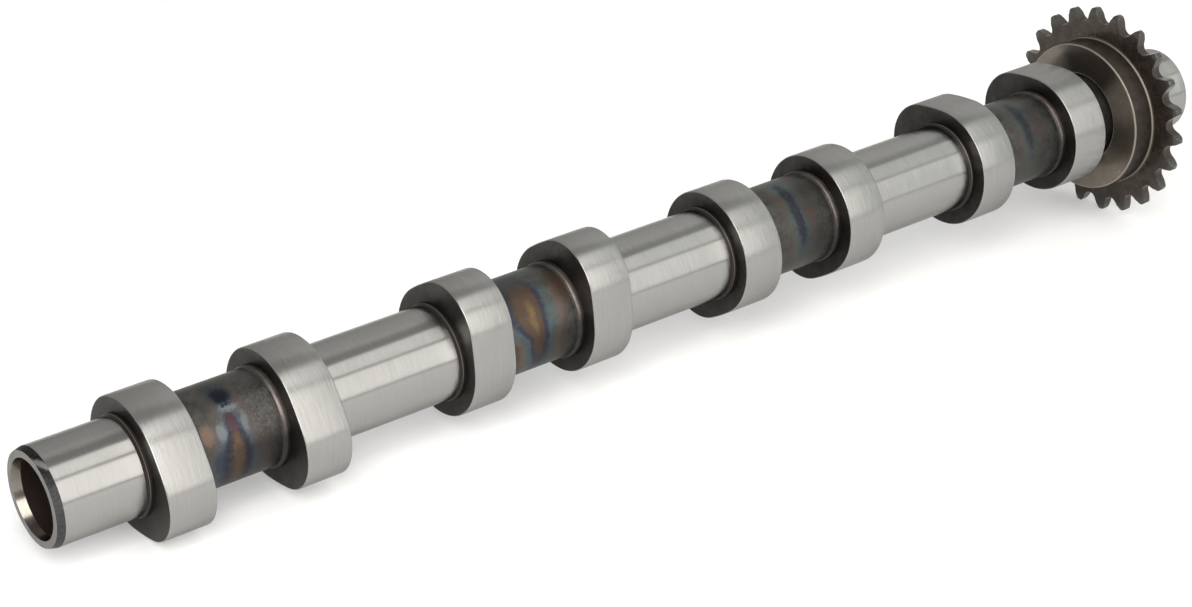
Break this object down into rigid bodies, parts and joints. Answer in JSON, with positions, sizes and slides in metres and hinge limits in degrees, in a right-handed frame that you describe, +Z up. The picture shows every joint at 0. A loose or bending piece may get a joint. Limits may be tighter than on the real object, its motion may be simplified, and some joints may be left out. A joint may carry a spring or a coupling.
{
  "type": "camshaft",
  "caption": "Assembled hollow camshaft: lobes pressed on a ground steel tube, with a chain sprocket at its rear end.",
  "frame": {"origin": "centre of the front end face, on the shaft axis", "axes": "+X along the shaft from the open front end to the sprocket end, +Z up as the shaft lies on a bench, +Y away from the viewer of the reference view"},
  "size_m": [0.364, 0.0602, 0.0598],
  "materials": {
    "shaft_steel": "ground journals, dark drawn surface between them",
    "lobe_steel": "ground rims, dark side faces",
    "sprocket_steel": "dark brown hardened steel"
  },
  "bodies": {
    "root": {"shaft_tube": "shaft_steel", "cam_lobe_1": "lobe_steel", "cam_lobe_2": "lobe_steel", "cam_lobe_3": "lobe_steel", "cam_lobe_4": "lobe_steel", "cam_lobe_5": "lobe_steel", "cam_lobe_6": "lobe_steel", "cam_lobe_7": "lobe_steel", "cam_lobe_8": "lobe_steel", "chain_sprocket": "sprocket_steel"}
  },
  "joints": []
}
